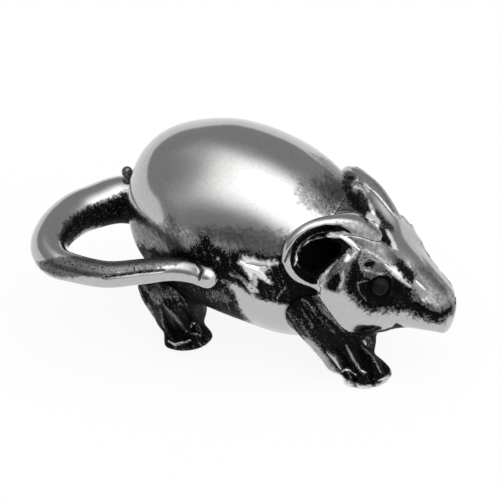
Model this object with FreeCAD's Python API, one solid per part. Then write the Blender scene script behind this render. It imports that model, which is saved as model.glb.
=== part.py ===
import FreeCAD, Part
import math
import os

# Cast white-metal mouse figurine, put together from separate castings.
# Units are millimetres. +X is forward (the nose), +Y is the mouse's left, +Z is up.
# The pieces are modelled about the mouse's middle plane, y = 0, with the soles at z = 0.
# The last step moves them so that the origin is the bottom centre of the whole figurine's box.

V = FreeCAD.Vector
UP = V(0, 0, 1)
FORWARD = V(1, 0, 0)
RIGHT_SIDE = -1
LEFT_SIDE = 1

# Facets round each kind of casting, and rings between two rows of its table
body_facets = 32
core_facets = 12
head_facets = 24
tail_facets = 12
ear_facets = 24
ear_bowl_rings = 5
ear_rim_facets = 8
limb_facets = 12
toe_facets = 7
eye_facets = 12
stud_facets = 10
body_rings_per_row = 2
tail_rings_per_row = 3
limb_rings_per_row = 2
ear_path_steps = 72  # places looked at along the rim to find where it enters the skull

# Body casting: a hollow egg, high at the rump and low at the chest
body_length = 31.2  # rump pole to the neck end, which lies inside the head
body_width = 22.0
body_height = 24.0
rump_x = -19.7
rump_z = 17.9  # height of the egg's middle line at the rump
neck_z = 14.2  # height of the same line at the neck end
body_wall = 1.6
neck_wall = 6.0  # solid metal between the core and the neck end
# One row per section: place along the length, rise, drop and half width
body_section_shares = [
    (0.000, 0.000, 0.000, 0.000),
    (0.028, 0.183, 0.197, 0.195),
    (0.100, 0.316, 0.339, 0.355),
    (0.220, 0.412, 0.440, 0.455),
    (0.380, 0.480, 0.490, 0.500),
    (0.550, 0.484, 0.512, 0.495),
    (0.700, 0.436, 0.520, 0.458),
    (0.840, 0.342, 0.460, 0.350),
    (0.950, 0.210, 0.280, 0.195),
    (1.000, 0.000, 0.000, 0.000),
]

# Joints: round pegs cast on each part, soldered into sockets in the part that carries it
solder_gap = 0.05
peg_reach = 0.8  # how far a peg stands out past the inside of the wall

# Head casting, whose spigot closes the body's neck hole
head_length = 18.1  # back of the skull to the front of the muzzle
head_width = 14.8
head_height = 15.4
head_back_x = 3.6
head_back_z = 16.6  # height of the head's middle line at its back
muzzle_z = 9.5  # height of the same line at the front of the muzzle
head_section_shares = [
    (0.000, 0.000, 0.000, 0.000),
    (0.040, 0.280, 0.320, 0.310),
    (0.130, 0.430, 0.520, 0.480),
    (0.330, 0.485, 0.555, 0.555),
    (0.516, 0.400, 0.475, 0.435),
    (0.620, 0.340, 0.370, 0.360),
    (0.710, 0.285, 0.300, 0.300),
    (0.870, 0.180, 0.235, 0.200),
    (0.950, 0.120, 0.190, 0.145),
    (1.000, 0.000, 0.000, 0.000),
]
neck_radius = 3.2
neck_depth = 8.5  # spigot length from the neck end back into the body

# Ears: round cups with a rolled rim, set on the sides of the skull
ear_length = 12.4
ear_height = 9.4
ear_cup_depth = 2.6
ear_wall = 0.7
ear_rim_radius = 0.9
ear_x = 7.8
ear_y = 5.7
ear_z = 18.1
left_ear_lead = 0.5  # how far the left ear stands forward of the right one
left_ear_drop = 0.5  # and how far below it
ear_turn_deg = 50.0  # how far each cup faces sideways from straight ahead
ear_tip_back_deg = 8.0
ear_front_up_deg = 12.0  # how far the end at the brow is raised
ear_peg_radius = 0.45
ear_peg_length = 2.4  # half of it in the rim

# Eyes: round beads in sockets, each in a shallow dish
eye_radius = 1.35
eye_dish_radius = 3.0
eye_dish_depth = 0.8
eye_x = 13.8
eye_z = 14.5

# Tail: a tapered rod that curls round on the mouse's right and ends on the flank
tail_root_radius = 3.05
tail_loop_length = 21.7
tail_loop_width = 16.3
tail_overhang = 6.0  # how far the curl's middle line runs back past the rump
tail_z = 15.5
tail_peg_radius = 1.7
# One row per section: place forward from the rearmost point, place to the right, radius
tail_section_shares = [
    (0.392, -0.020, 1.00),
    (0.300, 0.000, 1.00),
    (0.189, 0.055, 0.95),
    (0.101, 0.190, 0.88),
    (0.028, 0.355, 0.85),
    (0.000, 0.590, 0.79),
    (0.032, 0.820, 0.72),
    (0.120, 0.965, 0.63),
    (0.226, 1.000, 0.56),
    (0.433, 0.985, 0.52),
    (0.604, 0.853, 0.49),
    (0.737, 0.750, 0.46),
    (0.853, 0.724, 0.45),
    (0.940, 0.736, 0.47),
    (1.000, 0.750, 0.00),
]

# Stud: a small round-headed pin on top of the tail's root
stud_radius = 0.68
stud_height = 1.7
stud_stem_radius = 0.45
stud_setback = 0.85  # behind the rump
stud_to_right = 0.5
stud_peg_length = 1.2

# Legs: short limbs on broad paws, whose toes fan out sideways
limb_peg_radius = 1.1
paw_length = 7.1
paw_width = 7.4
paw_height = 3.0
paw_turn_deg = 48.0  # how far the toes point sideways from straight ahead
toe_count = 4
toe_radius = 0.85
toe_fan_deg = 66.0
haunch_x = -12.2
haunch_y = 6.0
haunch_z = 9.4
haunch_width = 9.2
haunch_thickness = 7.6
hind_ankle_width = 5.8
hind_ankle_setback = 0.0  # how far the ankle stands back on the paw
hind_paw_x = -11.4
hind_paw_y = 4.6
left_hind_setback = 1.2
shoulder_x = 6.0
shoulder_y = 7.0
shoulder_z = 10.0
shoulder_width = 6.0
shoulder_thickness = 5.6
front_ankle_width = 6.8
front_ankle_setback = 0.9
front_paw_x = 11.5
front_paw_y = 3.5
left_front_setback = 5.6
ankle_thickness = 4.4
# One row per section: way from the top to the ankle, share of the top's size and of the ankle's
limb_section_shares = [
    (-0.38, 0.00, 0.00),
    (-0.26, 0.70, 0.00),
    (0.00, 1.00, 0.00),
    (0.35, 0.74, 0.26),
    (0.70, 0.34, 0.66),
    (1.00, 0.00, 1.00),
    (1.15, 0.00, 0.00),
]
# One row per section: place from heel to toes, half width and height
paw_section_shares = [
    (-0.36, 0.00, 0.00),
    (-0.26, 0.26, 0.62),
    (-0.05, 0.37, 1.00),
    (0.18, 0.47, 0.80),
    (0.34, 0.34, 0.50),
    (0.42, 0.00, 0.00),
]
# One row per section: way along the toe, radius
toe_section_shares = [
    (0.20, 0.00),
    (0.30, 0.80),
    (0.60, 1.00),
    (0.85, 1.00),
    (0.96, 0.60),
    (1.00, 0.00),
]
toe_tip_share = 0.7  # height of a toe's tip in toe radii
ankle_share = 0.62  # of the paw's height
ankle_back_share = 0.14  # of the paw's length behind its middle


def blend(a, b, c, d, t):
    """The value at share t between b and c on the smooth curve through a, b, c and d."""
    return 0.5 * (2 * b + (c - a) * t + (2 * a - 5 * b + 4 * c - d) * t**2 + (3 * b - a - 3 * c + d) * t**3)


def row_beyond(end, near, size_columns):
    """The row past an end of a table: mirrored through a pole, where sizes are zero, or straight on."""
    places = len(end) - size_columns
    if any(end[places:]):
        return tuple(2 * e - n for e, n in zip(end, near))
    return near[:places] + tuple(-n for n in near[places:])


def smooth_rows(rows, size_columns, steps):
    """The rows of a table with smooth ones filled in between, steps to each gap."""
    padded = [row_beyond(rows[0], rows[1], size_columns)] + rows
    padded.append(row_beyond(rows[-1], rows[-2], size_columns))
    filled = []
    for a, b, c, d in zip(padded, padded[1:], padded[2:], padded[3:]):
        for step in range(steps):
            filled.append(tuple(blend(*values, step / steps) for values in zip(a, b, c, d)))
    filled.append(rows[-1])
    return filled


def facet(a, b, c):
    return Part.Face(Part.makePolygon([a, b, c, a]))


def skin(first, rings, last):
    """A closed solid of flat facets from a first point, through rings of points, to a last point."""
    count = len(rings[0])
    facets = []
    for i in range(count):
        j = (i + 1) % count
        facets.append(facet(first, rings[0][i], rings[0][j]))
        facets.append(facet(last, rings[-1][j], rings[-1][i]))
        for near, far in zip(rings, rings[1:]):
            if near[i].distanceToPoint(far[j]) < near[j].distanceToPoint(far[i]):
                facets.append(facet(near[i], far[i], far[j]))
                facets.append(facet(near[i], far[j], near[j]))
            else:
                facets.append(facet(near[i], far[i], near[j]))
                facets.append(facet(near[j], far[i], far[j]))
    solid = Part.makeSolid(Part.makeShell(facets))
    if solid.Volume < 0:
        solid.reverse()
    return solid


def ring(centre, side, up, half_width, rise, drop, count):
    """Points round an oval about centre, whose upper and lower halves have their own heights."""
    points = []
    for i in range(count):
        angle = 2 * math.pi * (i + 0.5) / count
        height = rise if math.sin(angle) > 0 else drop
        points.append(centre + side * (half_width * math.cos(angle)) + up * (height * math.sin(angle)))
    return points


def egg(shares, length, width, height, start, z_end, count, steps, inset=0, end_inset=0):
    """A closed solid along X through the oval sections in shares, inset all round by a wall."""
    rings = []
    for place, rise, drop, half in smooth_rows(shares, 3, steps)[1:-1]:
        if min(rise * height, drop * height, half * width) < 2 * inset:
            continue
        x = start.x + inset + (length - inset - end_inset) * place
        centre = V(x, 0, start.z + (z_end - start.z) * place)
        sizes = (half * width - inset, rise * height - inset, drop * height - inset)
        rings.append(ring(centre, V(0, 1, 0), UP, *sizes, count))
    return skin(V(start.x + inset, 0, start.z), rings, V(start.x + length - end_inset, 0, z_end))


def rod(centres, sizes, side, count):
    """A closed solid with rings square to the line through centres, sized by half width and half height."""
    rings = []
    for before, centre, after, (half, rise) in zip(centres, centres[1:], centres[2:], sizes[1:]):
        along = (after - before).normalize()
        across = (side - along * side.dot(along)).normalize()
        rings.append(ring(centre, across, across.cross(along), half, rise, rise, count))
    return skin(centres[0], rings, centres[-1])


def cylinder(radius, start, end):
    """A round peg or hole from start to end."""
    return Part.makeCylinder(radius, start.distanceToPoint(end), start, end - start)


def largest(shape):
    """The largest solid that a cut has left."""
    return max(shape.Solids, key=lambda solid: solid.Volume)


def body_blank(inset, end_inset, count, steps):
    size = (body_length, body_width, body_height)
    return egg(body_section_shares, *size, V(rump_x, 0, rump_z), neck_z, count, steps, inset, end_inset)


def head_blank():
    size = (head_length, head_width, head_height)
    start = V(head_back_x, 0, head_back_z)
    return egg(head_section_shares, *size, start, muzzle_z, head_facets, body_rings_per_row)


def tail_rod():
    """The tail from inside the rump to its rounded tip."""
    rows = smooth_rows(tail_section_shares, 1, tail_rings_per_row)
    rear_x = rump_x - tail_overhang
    centres = []
    sizes = []
    for forward, right, radius in rows:
        centres.append(V(rear_x + tail_loop_length * forward, -tail_loop_width * right, tail_z))
        sizes.append((tail_root_radius * radius, tail_root_radius * radius))
    return rod(centres, sizes, UP, tail_facets)


def ear_centre(side):
    if side == LEFT_SIDE:
        return V(ear_x + left_ear_lead, side * ear_y, ear_z - left_ear_drop)
    return V(ear_x, side * ear_y, ear_z)


def ear_axes(side):
    """The way out of the ear's cup, the way along the ear and the way up it."""
    turn = math.radians(ear_turn_deg)
    tip = math.radians(ear_tip_back_deg)
    lift = math.radians(ear_front_up_deg)
    level = V(math.cos(turn), side * math.sin(turn), 0)
    out = level * math.cos(tip) + UP * math.sin(tip)
    inward = V(math.sin(turn), -side * math.cos(turn), 0)
    upward = side * out.cross(inward)
    along = inward * math.cos(lift) + upward * math.sin(lift)
    return out, along, side * out.cross(along)


def ear_rings(side, profile):
    """Rings of the ear at each step of its profile: share of the way out from the middle, inset, height."""
    out, along, up = ear_axes(side)
    centre = ear_centre(side)
    rings = []
    for share, inset, height in profile:
        half_along = (ear_length / 2 - inset) * share
        half_up = (ear_height / 2 - inset) * share
        rings.append(ring(centre + out * height, along, up, half_along, half_up, half_up, ear_facets))
    return rings


def bowl_profile(inset, depth):
    """Quarter round bowl from its bottom up to its edge."""
    angles = [math.pi / 2 * (i + 1) / ear_bowl_rings for i in range(ear_bowl_rings)]
    return [(math.sin(a), inset, -depth * math.cos(a)) for a in angles]


def rim_profile():
    """The rolled rim from its inner edge, over its crown and round to its back."""
    angles = [math.pi - 2 * math.pi * i / ear_rim_facets for i in range(ear_rim_facets // 2 + 2)]
    return [(1, ear_rim_radius * (1 - math.cos(a)), ear_rim_radius * math.sin(a)) for a in angles]


def ear_cup(side):
    """Cup with a rim rolled over its edge."""
    out, along, up = ear_axes(side)
    centre = ear_centre(side)
    inside = bowl_profile(2 * ear_rim_radius, ear_cup_depth - ear_wall)[:-1]
    outside = bowl_profile(ear_rim_radius, ear_cup_depth)[:-1]
    profile = inside + rim_profile() + outside[::-1]
    bottom_in = centre - out * (ear_cup_depth - ear_wall)
    bottom_out = centre - out * ear_cup_depth
    return skin(bottom_in, ear_rings(side, profile), bottom_out)


def ear_hollow(side):
    """The space inside the cup, with a dome as high again in front of it."""
    out, along, up = ear_axes(side)
    centre = ear_centre(side)
    depth = ear_cup_depth - ear_wall
    inside = bowl_profile(2 * ear_rim_radius, depth)
    front = [(share, inset, -height) for share, inset, height in inside[:-1][::-1]]
    return skin(centre - out * depth, ear_rings(side, inside + front), centre + out * depth)


def ball(centre, radius, axis, height, count):
    """A faceted ball or lens about centre, its poles along axis at the height given."""
    side = axis.cross(UP).normalize()
    up = side.cross(axis)
    rings = []
    for i in range(1, count // 2):
        angle = 2 * math.pi * i / count
        r = radius * math.sin(angle)
        rings.append(ring(centre - axis * (height * math.cos(angle)), side, up, r, r, r, count))
    return skin(centre - axis * height, rings, centre + axis * height)


def way_out(solid, inside, beyond):
    """Where the straight way from a point inside the solid to one beyond it comes out."""
    chord = Part.makeLine(inside, beyond).common(solid)
    return max((vertex.Point for vertex in chord.Vertexes), key=inside.distanceToPoint)


def paw(centre, turn_deg, side):
    """Pad and toes, flat underneath once the ground has been cut away."""
    turn = math.radians(turn_deg)
    forward = V(math.cos(turn), side * math.sin(turn), 0)
    across = V(-side * math.sin(turn), math.cos(turn), 0)
    rings = []
    rows = smooth_rows(paw_section_shares, 2, limb_rings_per_row)
    for place, half, rise in rows[1:-1]:
        sizes = (paw_width * half, paw_height * rise, paw_height * rise)
        rings.append(ring(centre + forward * (paw_length * place), across, UP, *sizes, limb_facets))
    heel, front = (centre + forward * (paw_length * row[0]) for row in (rows[0], rows[-1]))
    pad = skin(heel, rings, front)
    toes = []
    for i in range(toe_count):
        fan = turn + math.radians(toe_fan_deg) * (i / (toe_count - 1) - 1 / 2)
        pointing = V(math.cos(fan), side * math.sin(fan), 0)
        base = centre + UP * (paw_height / 2)
        tip = centre + pointing * (paw_length / 2) + UP * (toe_radius * toe_tip_share)
        centres = [base + (tip - base) * way for way, _ in toe_section_shares]
        sizes = [(toe_radius * radius, toe_radius * radius) for _, radius in toe_section_shares]
        toes.append(rod(centres, sizes, across, toe_facets))
    return pad.multiFuse(toes)


def limb(top, paw_centre, turn_deg, size, ankle_width, ankle_setback, side):
    """Thigh or shoulder running down to an ankle, fused to its paw and cut flat at the soles."""
    turn = math.radians(turn_deg)
    forward = V(math.cos(turn), side * math.sin(turn), 0)
    across = V(-side * math.sin(turn), math.cos(turn), 0)
    ankle = paw_centre - forward * (paw_length * ankle_back_share) + UP * (paw_height * ankle_share)
    ankle = ankle - FORWARD * ankle_setback
    width, thickness = size
    rows = smooth_rows(limb_section_shares, 2, limb_rings_per_row)
    centres = [top + (ankle - top) * way for way, _, _ in rows]
    sizes = []
    for _, upper, lower in rows:
        half = (width * upper + ankle_width * lower) / 2
        sizes.append((half, (thickness * upper + ankle_thickness * lower) / 2))
    upper = rod(centres, sizes, across, limb_facets)
    whole = upper.fuse(paw(paw_centre, turn_deg, side))
    corner = paw_centre - V(body_length / 2, body_length / 2, body_height)
    return whole.cut(Part.makeBox(body_length, body_length, body_height, corner))


def peg_line(solid, inside, beyond, length_out, length_in):
    """The two ends of a peg that crosses the solid's surface on the way from inside to beyond."""
    surface = way_out(solid, inside, beyond)
    outward = (beyond - inside).normalize()
    return surface + outward * length_out, surface - outward * length_in


def limb_peg_line(top):
    """The ends of the peg that joins a limb to the body, square to the body's length."""
    axis = V(top.x, 0, rump_z + (neck_z - rump_z) * (top.x - rump_x) / body_length)
    return peg_line(body_outer, axis, top + (top - axis), limb_peg_radius / 2, 2 * body_wall + peg_reach)


def ear_peg_lines(side):
    """The ends of the pegs at both places where the rim of the ear enters the skull."""
    out, along, up = ear_axes(side)
    centre = ear_centre(side)
    half_along = ear_length / 2 - ear_rim_radius
    half_up = ear_height / 2 - ear_rim_radius
    skull = head_outer.fuse(body_outer)
    path = ring(centre, along, up, half_along, half_up, half_up, ear_path_steps)
    inside = [skull.isInside(point, solder_gap, True) for point in path]
    lines = []
    for i, point in enumerate(path):
        if inside[i] != inside[i - 1]:
            shown, hidden = (path[i - 1], point) if inside[i] else (point, path[i - 1])
            way = (hidden - shown).normalize()
            lines.append((shown - way * (ear_peg_length / 2), hidden + way * (ear_peg_length / 2)))
    return lines


def stud():
    """Round-headed pin whose stem goes down into the tail's root."""
    foot = V(rump_x - stud_setback, -stud_to_right, tail_z + tail_root_radius - stud_peg_length)
    head_centre = foot + UP * (stud_peg_length + stud_height - stud_radius)
    stem = cylinder(stud_stem_radius, foot, head_centre)
    return stem.fuse(ball(head_centre, stud_radius, FORWARD, stud_radius, stud_facets)), foot, head_centre


body_outer = body_blank(0, 0, body_facets, body_rings_per_row)
body_core = body_blank(body_wall, neck_wall, core_facets, 1)
head_outer = head_blank()
pieces = {}
body_holes = []
head_holes = []

# Tail and its stud
tail_peg = (V(rump_x - tail_peg_radius, 0, tail_z), V(rump_x + body_wall + peg_reach, 0, tail_z))
tail_root_stud, stud_foot, stud_top = stud()
tail = largest(tail_rod().cut(body_outer)).fuse(cylinder(tail_peg_radius, *tail_peg))
pieces["tail"] = tail.cut(cylinder(stud_stem_radius + solder_gap, stud_foot, stud_top))
pieces["tail_root_stud"] = tail_root_stud
body_holes.append(cylinder(tail_peg_radius + solder_gap, *tail_peg))

# Neck spigot
neck_end = V(rump_x + body_length, 0, neck_z)
neck_peg = (neck_end + FORWARD * (neck_radius / 2), neck_end - FORWARD * neck_depth)
body_holes.append(cylinder(neck_radius + solder_gap, *neck_peg))
head = largest(head_outer.cut(body_outer)).fuse(cylinder(neck_radius, *neck_peg))

# Pieces that come in pairs. The left paws stand a little further back than the right ones.
haunch = (haunch_x, haunch_y, haunch_z)
shoulder = (shoulder_x, shoulder_y, shoulder_z)
hind_setbacks = {RIGHT_SIDE: 0, LEFT_SIDE: left_hind_setback}
front_setbacks = {RIGHT_SIDE: 0, LEFT_SIDE: left_front_setback}
hind_paw = (hind_paw_x, hind_paw_y)
front_paw = (front_paw_x, front_paw_y)
haunch_size = (haunch_width, haunch_thickness)
shoulder_size = (shoulder_width, shoulder_thickness)
hind_ankle = (hind_ankle_width, hind_ankle_setback)
front_ankle = (front_ankle_width, front_ankle_setback)
legs = (
    ("_hind_leg", haunch, hind_paw, haunch_size, hind_ankle, hind_setbacks),
    ("_front_leg", shoulder, front_paw, shoulder_size, front_ankle, front_setbacks),
)
for side, word in ((RIGHT_SIDE, "right"), (LEFT_SIDE, "left")):
    # Ear
    ear = largest(ear_cup(side).cut(head_outer).cut(body_outer))
    for line in ear_peg_lines(side):
        ear = ear.fuse(cylinder(ear_peg_radius, *line))
        head_holes.append(cylinder(ear_peg_radius + solder_gap, *line))
        body_holes.append(cylinder(ear_peg_radius + solder_gap, *line))
    pieces[word + "_ear"] = ear
    head_holes.append(ear_hollow(side))
    body_holes.append(ear_hollow(side))
    # Eye
    level = V(eye_x, 0, eye_z)
    eye_surface = way_out(head_outer, level, level + V(0, side * head_width, 0))
    eye_out = (eye_surface - level + FORWARD * eye_dish_radius).normalize()
    eye_centre = eye_surface - eye_out * eye_dish_depth
    socket_radius = eye_radius + solder_gap
    pieces[word + "_eye"] = ball(eye_centre, eye_radius, eye_out, eye_radius, eye_facets)
    head_holes.append(ball(eye_centre, socket_radius, eye_out, socket_radius, eye_facets))
    head_holes.append(ball(eye_surface, eye_dish_radius, eye_out, eye_dish_depth, eye_facets))
    # Legs
    for name, (top_x, top_y, top_z), (paw_x, paw_y), size, ankle, setbacks in legs:
        top = V(top_x, side * top_y, top_z)
        paw_centre = V(paw_x - setbacks[side], side * paw_y, 0)
        leg = limb(top, paw_centre, paw_turn_deg, size, *ankle, side)
        leg = largest(leg.cut(body_outer).cut(head_outer))
        line = limb_peg_line(top)
        pieces[word + name] = leg.fuse(cylinder(limb_peg_radius, *line))
        body_holes.append(cylinder(limb_peg_radius + solder_gap, *line))

pieces["head"] = largest(head.cut(Part.makeCompound(head_holes)))
pieces["body_shell"] = largest(body_outer.cut(body_core).cut(Part.makeCompound(body_holes)))

# The whole figurine's origin is the bottom centre of its box
box = Part.makeCompound(list(pieces.values())).optimalBoundingBox()
home = V(-box.Center.x, -box.Center.y, -box.ZMin)
os.makedirs("parts", exist_ok=True)
for name, piece in pieces.items():
    solid = largest(piece)
    solid.translate(home)
    solid.exportStep("parts/" + name + ".step")
    print(name, "valid" if solid.isValid() else "INVALID", len(piece.Solids), round(solid.Volume, 1))
print("Moved by", home)
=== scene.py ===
import math

import bpy
import numpy as np
import openvdb
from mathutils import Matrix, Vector


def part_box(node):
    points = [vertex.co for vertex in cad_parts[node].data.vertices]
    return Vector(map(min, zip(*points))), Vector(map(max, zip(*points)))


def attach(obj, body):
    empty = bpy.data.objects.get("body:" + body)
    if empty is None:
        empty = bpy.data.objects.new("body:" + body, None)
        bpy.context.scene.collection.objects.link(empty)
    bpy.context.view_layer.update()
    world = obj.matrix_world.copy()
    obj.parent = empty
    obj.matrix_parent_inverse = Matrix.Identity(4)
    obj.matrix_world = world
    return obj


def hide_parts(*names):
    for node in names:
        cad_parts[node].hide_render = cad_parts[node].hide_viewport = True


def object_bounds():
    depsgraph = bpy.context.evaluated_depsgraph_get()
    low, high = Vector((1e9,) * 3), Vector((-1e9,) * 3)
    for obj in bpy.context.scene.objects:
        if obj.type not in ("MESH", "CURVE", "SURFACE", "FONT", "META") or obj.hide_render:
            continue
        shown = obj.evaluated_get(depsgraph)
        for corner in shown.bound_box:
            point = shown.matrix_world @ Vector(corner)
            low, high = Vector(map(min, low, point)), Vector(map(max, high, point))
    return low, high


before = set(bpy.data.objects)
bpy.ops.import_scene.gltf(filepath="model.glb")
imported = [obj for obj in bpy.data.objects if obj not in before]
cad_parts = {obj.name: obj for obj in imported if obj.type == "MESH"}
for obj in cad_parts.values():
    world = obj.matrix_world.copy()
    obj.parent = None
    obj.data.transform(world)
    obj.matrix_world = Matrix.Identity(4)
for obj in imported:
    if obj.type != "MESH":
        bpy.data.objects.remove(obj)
cad_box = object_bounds()

# Cast white-metal mouse, antiqued with a black patina and rubbed bright on its high spots.
# Every CAD node is drawn again as a smooth casting, from distance fields on one grid of voxels.
# Lengths are millimetres until a mesh is made. +X is forward and +Y is the mouse's left.
MM = 0.001
voxel = 0.14
band = 2.4  # reach of the distance fields
margin = 1.0  # room for voxels round a box
box_low, box_high = np.array(cad_box) / MM
slope_range = (0.001, 3.0)  # of a field that is turned into a distance
weld_digits = 5  # decimals to which a CAD mesh's corners are one point
least_length = 1e-9  # a normal is divided by at least this

# The mouse's own frame: its middle plane is y = 0 and its nose tip is at x = nose_x
nose_x = 21.7
home = np.array([
    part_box("head")[1].x / MM - nose_x,
    (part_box("left_eye")[0].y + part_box("right_eye")[1].y) / 2 / MM,
    0,
])
sides = (("right", -1), ("left", 1))

# Camera: at the photograph's angle
camera_azimuth = math.radians(22)
camera_elevation = math.radians(34)
camera_distance = 300.0
camera_target = np.array([-4.06, -1.64, 13.0]) + home
view_width = 60.0  # seen across the frame at the target
image_size = 500
sensor_width = 36.0
way_back = np.array([
    math.sin(camera_azimuth) * math.cos(camera_elevation),
    -math.cos(camera_azimuth) * math.cos(camera_elevation),
    math.sin(camera_elevation),
])
way_right = np.array([math.cos(camera_azimuth), math.sin(camera_azimuth), 0])
way_up = np.cross(way_back, way_right)
camera_place = camera_target + way_back * camera_distance

# Body and head: oval sections along x, with a place, a rise, a drop and a half width
body_size = (31.2, 22.0, 24.0)
body_start = (-19.7, 17.9)
body_end_z = 14.2
body_shares = [
    (0, 0, 0, 0),
    (0.028, 0.183, 0.197, 0.195),
    (0.100, 0.316, 0.339, 0.355),
    (0.220, 0.412, 0.440, 0.455),
    (0.380, 0.480, 0.490, 0.500),
    (0.550, 0.484, 0.512, 0.495),
    (0.700, 0.436, 0.520, 0.458),
    (0.840, 0.342, 0.460, 0.350),
    (0.950, 0.210, 0.280, 0.195),
    (1, 0, 0, 0),
]
head_size = (18.1, 14.8, 15.4)
head_start = (3.6, 16.6)
head_end_z = 9.5
head_shares = [
    (0, 0, 0, 0),
    (0.040, 0.280, 0.320, 0.310),
    (0.130, 0.430, 0.520, 0.480),
    (0.330, 0.485, 0.555, 0.555),
    (0.516, 0.400, 0.475, 0.435),
    (0.620, 0.340, 0.370, 0.360),
    (0.710, 0.285, 0.300, 0.300),
    (0.870, 0.180, 0.235, 0.200),
    (0.950, 0.120, 0.190, 0.145),
    (1, 0, 0, 0),
]

# Tail: places of its middle line and its radius along the curl
tail_radius = 3.05
tail_loop = (21.7, 16.3)
tail_rear_x = -25.7
tail_z = 15.5
tail_shares = [
    (0.392, -0.020, 1.00),
    (0.300, 0.000, 1.00),
    (0.189, 0.055, 0.95),
    (0.101, 0.190, 0.88),
    (0.028, 0.355, 0.85),
    (0.000, 0.590, 0.79),
    (0.032, 0.820, 0.72),
    (0.120, 0.965, 0.63),
    (0.226, 1.000, 0.56),
    (0.433, 0.985, 0.52),
    (0.604, 0.853, 0.49),
    (0.737, 0.750, 0.46),
    (0.853, 0.724, 0.45),
    (0.940, 0.736, 0.47),
]
least_share = 0.004  # keeps the eggs' ends from a division by zero
egg_steps = 24  # sections between two rows of an egg's table
tail_steps = 12
tail_spacing = 0.2  # between the balls that make up the tail

# Ears: half length, half height, cup depth, wall and rim radius
ear_halves = (6.2, 4.7)
ear_depth = 2.6
ear_wall = 0.7
ear_rim = 0.9
ear_places = {-1: (7.8, 5.7, 18.1), 1: (8.3, 5.7, 17.6)}
ear_turn = math.radians(50)
ear_tip_back = math.radians(8)
ear_front_up = math.radians(12)
ear_reach = 8.0  # from an ear's middle to past all of it
ear_steps = 160  # balls round the rim
groove_place = (1.2, 0.72)  # in from the ear's outer edge, and out from the rim's middle
groove_radius = 0.36

# Eyes: rings of relief round each, with a lift, a radius, a width and a flatness
eye_reach = 4.0  # from an eye's middle to past its dish
eye_root_depth = 2.0  # how far behind an eye its dish ends
eye_rings = [
    (-0.55, 0.0, 2.0, 4),  # dish
    (0.20, 1.6, 0.22, 2),  # crown of the lid
    (-0.08, 2.15, 0.2, 2),  # groove round the lid
]
eye_shade = (0.6, 1.5, 6)  # patina in the dish: how much, its radius and its flatness
gaze = (0.5, 0.8, 0.15)  # forward, outwards and up
pupil = (0.16, 0.42, 4)  # depth, radius and flatness
bead_rings = 40
eye_facets = 48

# Stud: a turned pin with a round head and a collar
stud_foot_radius = 0.45
stud_collar = [(0.45, 2.70), (0.62, 2.45), (0.52, 2.20), (0.42, 1.90)]  # radius, and drop in head radii
stud_neck_angle = -0.9
stud_rings = 16
stud_facets = 32
askew = (0.3, 0.2, 1.0)  # along the axis of no turned piece

# Left legs: how far their paws stand back from the right ones
front_setback = 5.6
hind_setback = 1.2
paw_top = 1.9  # height of an ankle
leg_top = 10.0

# Fillets between castings. The head's and ears' grow wider towards the face.
tail_fillet = 0.5
leg_fillets = {"_front_leg": 1.2, "_hind_leg": 1.0}
head_fillet = (0.05, 2.6)  # width, and what it gains
head_fillet_run = (0.5, 5.0)  # where it gains, ahead of the back of the head
ear_fillet = (0.4, 0.8)
ear_fillet_run = (0.5, 4.5)  # ahead of the ear's middle

# Smoothing: passes over a field or a mesh
head_blur = 5
facet_blur = 16
relax_passes = 4
relax_pulls = (0.5, -0.53)  # in and out again, so that a mesh keeps its size
proud_passes = 12  # past which fine relief is gone

# Castings that a line or outline is for
HEAD = ("head",)
BODY = ("body_shell",)
EARS = ("right_ear", "left_ear")
ARMS = ("right_front_leg", "left_front_leg")
HAUNCHES = ("right_hind_leg", "left_hind_leg")
TAIL = ("tail",)

# Patina, from brushed and polished metal to black
BRUSHED = -1.0
CLEAN = -0.30
DULL = 0.12
BLACK = 0.98
soot_range = (-1.0, 1.5)
eye_soot = 1.5
stud_soot = 0.2

# Patina that fades with distance: how much, and where that starts and ends
seam_soot = (1.3, 0.05, 0.6)
hollow_soot = (1.4, -0.02, 0.12)
groove_soot = (1.3, 0.02, 0.15)
crown_seam_share = 0.1  # of a seam's patina, on the crown
crown_z = 15.0  # the crown lies above this and behind crown_front_x
crown_front_x = 9.0
far_cheek_y = 1.0  # the far cheek starts this far left of the middle plane
proud_polish = 2.2  # how fast relief that stands proud loses patina, up to proud_limit
proud_limit = 0.1
sole_polish = (1.05, 0.75, 1.15)  # patina rubbed off the low sides of the front paws
sole_raggedness = 0.5

# Speckle and ripple: size of a grain in mm, and seed
fine_grain = (0.22, 3)
coarse_grain = (0.8, 4)
fine_grain_share = 0.6
ripple = (1.7, 5)
ripple_height = 0.02
seed_step = 17.3
scatter = (374761393, 668265263, 2147483647, 974634777)  # for a cell's place and the seed
scatter_again = 1274126177
cell_bits = 0xFFFFFFFF
value_bits = 0xFFFF

# Strokes and patches
facing_edge = (-0.05, 0.2)  # where they thin out as the surface turns away
stroke_reach = 2.5  # in widths of the stroke
stroke_end_share = 0.5
patch_raggedness = 0.9  # in widths of the patch's edge

# Fur marks
fur_spacing = 2.2  # pixels
fur_length = 7  # spacings
fur_side_step = 0.02
fur_lift = 0.13
fur_edge = (0.55, 0.9)  # where in the noise a mark shows
fur_seed = 7
fur = ((ARMS, -0.60, 0.36), (HAUNCHES, -0.45, 0.36), (BODY, -0.35, 0.22))  # slant, patina taken away

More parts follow.
